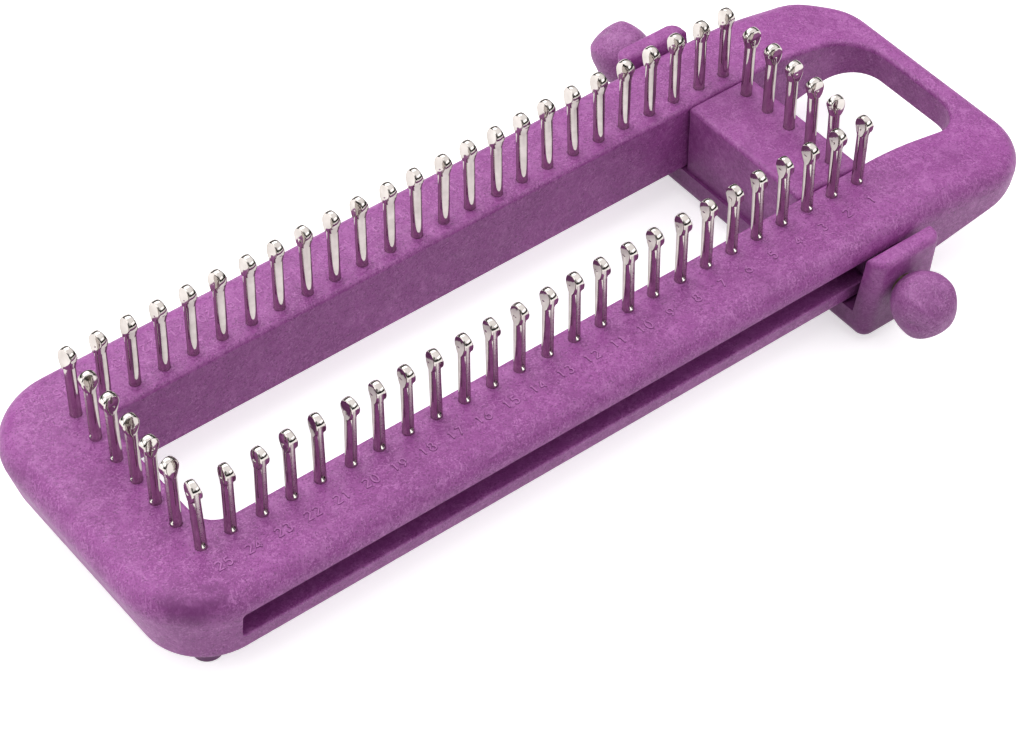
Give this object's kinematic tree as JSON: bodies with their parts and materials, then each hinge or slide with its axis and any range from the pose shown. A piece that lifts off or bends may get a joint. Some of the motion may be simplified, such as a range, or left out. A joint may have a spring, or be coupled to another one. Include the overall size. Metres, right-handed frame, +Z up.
{
  "type": "knitting board",
  "caption": "Long rectangular knitting board with upright metal pegs round an open middle and a pegged slider between the rails, clamped by a hand knob on each side.",
  "frame": {"origin": "on the surface the feet stand on, under the middle of the bounding box", "axes": "+X along the rails towards the thin handle end, +Y across the rails to the far rail, +Z up"},
  "size_m": [0.3102, 0.1565, 0.06],
  "materials": {
    "frame_plastic": "fibre-filled moulded plastic, mottled matte purple",
    "slider_plastic": "fibre-filled moulded plastic, mottled matte purple",
    "knob_plastic": "moulded plastic, mottled matte purple",
    "foot_plastic": "moulded plastic, matte purple",
    "shoe_plastic": "moulded plastic, matte dark purple",
    "peg_metal": "bright nickel plate",
    "screw_steel": "zinc-plated steel",
    "brass": "turned brass"
  },
  "bodies": {
    "board": {"frame": "frame_plastic", "near_rail_pegs": "peg_metal", "far_rail_pegs": "peg_metal", "end_peg_1": "peg_metal", "end_peg_2": "peg_metal", "end_peg_3": "peg_metal", "end_peg_4": "peg_metal", "end_peg_5": "peg_metal", "near_left_foot": "foot_plastic", "far_left_foot": "foot_plastic", "near_right_foot": "foot_plastic", "far_right_foot": "foot_plastic"},
    "slider": {"slider": "slider_plastic", "near_threaded_insert": "brass", "far_threaded_insert": "brass", "slider_peg_1": "peg_metal", "slider_peg_2": "peg_metal", "slider_peg_3": "peg_metal", "slider_peg_4": "peg_metal", "slider_peg_5": "peg_metal"},
    "near_shoe": {"near_slot_shoe": "shoe_plastic"},
    "far_shoe": {"far_slot_shoe": "shoe_plastic"},
    "near_knob": {"near_knob": "knob_plastic", "near_clamp_screw": "screw_steel"},
    "far_knob": {"far_knob": "knob_plastic", "far_clamp_screw": "screw_steel"}
  },
  "joints": [
    {"name": "slider_slide", "type": "slide", "parent": "board", "child": "slider", "axis": [1, 0, 0], "range_m": [-0.20003, 0.001]},
    {"name": "near_screw_advance", "type": "slide", "parent": "slider", "child": "near_shoe", "axis": [0, -0.9925, -0.1219], "range_m": [0, 0.0016]},
    {"name": "near_knob_turn", "type": "hinge", "parent": "near_shoe", "child": "near_knob", "pos_m": [0.08937, -0.047, 0.0226], "axis": [0, -0.9925, -0.1219], "range_deg": [0, 720]},
    {"name": "far_screw_advance", "type": "slide", "parent": "slider", "child": "far_shoe", "axis": [0, 0.9925, -0.1219], "range_m": [0, 0.0016]},
    {"name": "far_knob_turn", "type": "hinge", "parent": "far_shoe", "child": "far_knob", "pos_m": [0.08997, 0.047, 0.0233], "axis": [0, 0.9925, -0.1219], "range_deg": [0, 720]}
  ],
  "couplings": [
    {"joint": "near_knob_turn", "follows": "near_screw_advance", "rad_per_m": 7854},
    {"joint": "far_knob_turn", "follows": "far_screw_advance", "rad_per_m": 7854}
  ]
}
